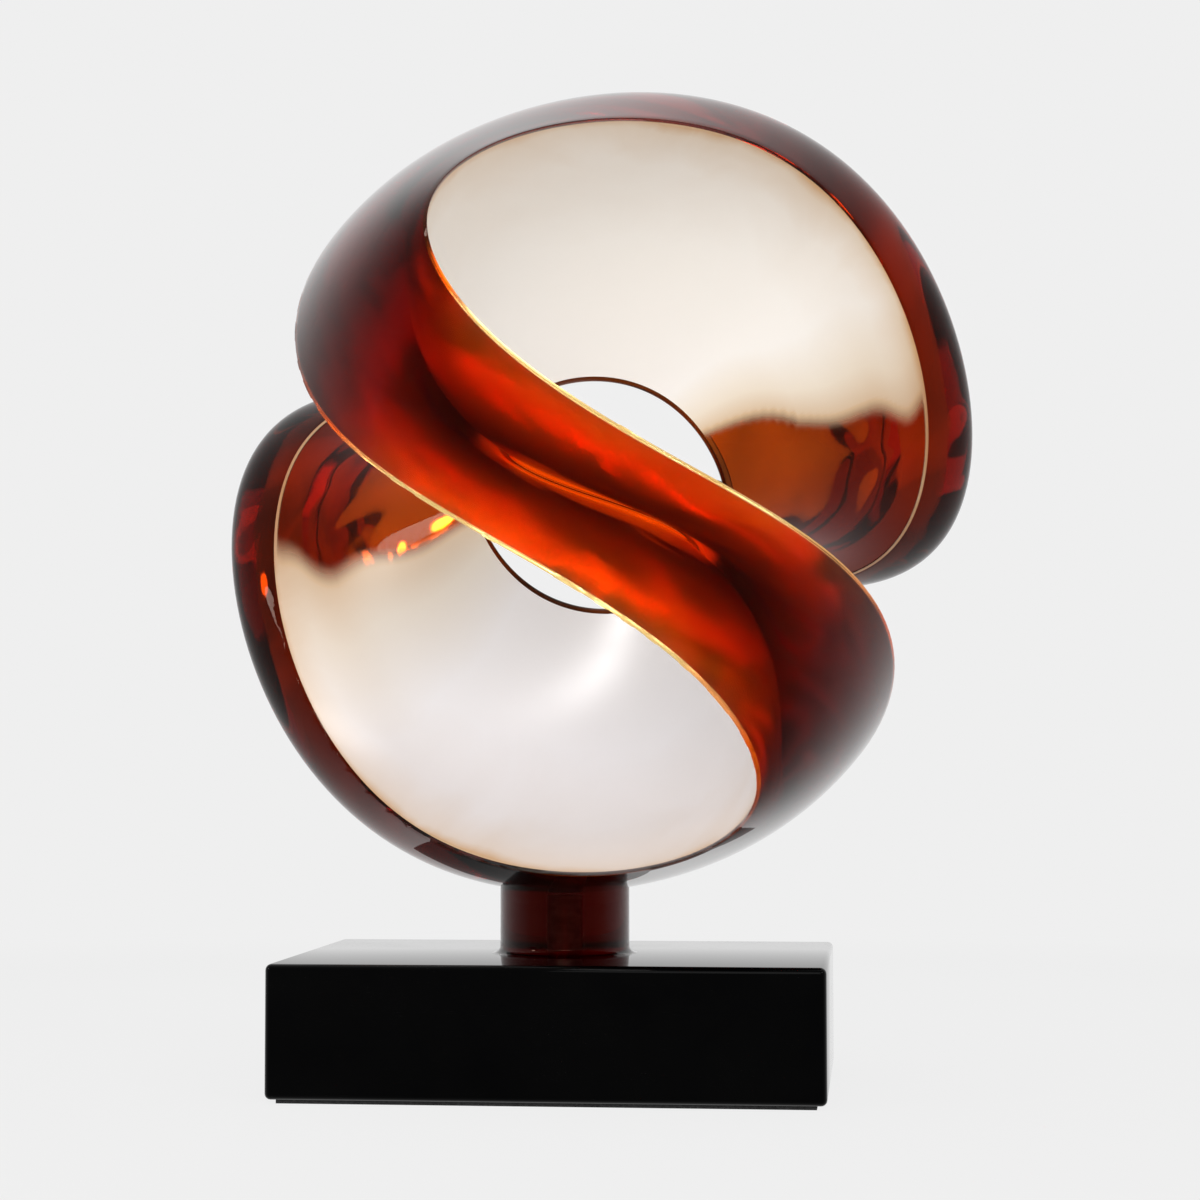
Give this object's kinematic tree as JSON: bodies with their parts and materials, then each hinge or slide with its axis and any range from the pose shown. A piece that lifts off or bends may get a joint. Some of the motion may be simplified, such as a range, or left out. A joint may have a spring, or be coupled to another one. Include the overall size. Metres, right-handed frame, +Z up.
{
  "type": "abstract sculpture",
  "caption": "Abstract ball-shaped sculpture: a closed ribbon of clear amber with pearl-faced hollow dishes winds round a central hole, on a short amber neck over a gloss black block base.",
  "frame": {"origin": "centre of the resting face under the base, on the neck's axis", "axes": "+Z up along the neck, -Y towards the viewer of the front strap, +X to that viewer's right"},
  "size_m": [0.4011, 0.4226, 0.5061],
  "materials": {
    "amber_acrylic": "polished clear amber cast acrylic",
    "pearl_facing": "polished champagne pearl facing",
    "black_lacquer": "piano black gloss lacquer on board",
    "steel": "plain zinc-plated steel",
    "board": "bare fibreboard",
    "felt": "black felt"
  },
  "bodies": {
    "root": {"front_strap": "amber_acrylic", "upper_loop": "amber_acrylic", "rear_strap": "amber_acrylic", "lower_loop": "amber_acrylic", "upper_dish": "pearl_facing", "lower_dish": "pearl_facing", "neck": "amber_acrylic", "threaded_rod": "steel", "rod_washer": "steel", "rod_nut": "steel", "base_block": "black_lacquer", "ballast_plate": "steel", "bottom_board": "board", "board_screws": "steel", "felt_pad": "felt"}
  },
  "joints": []
}
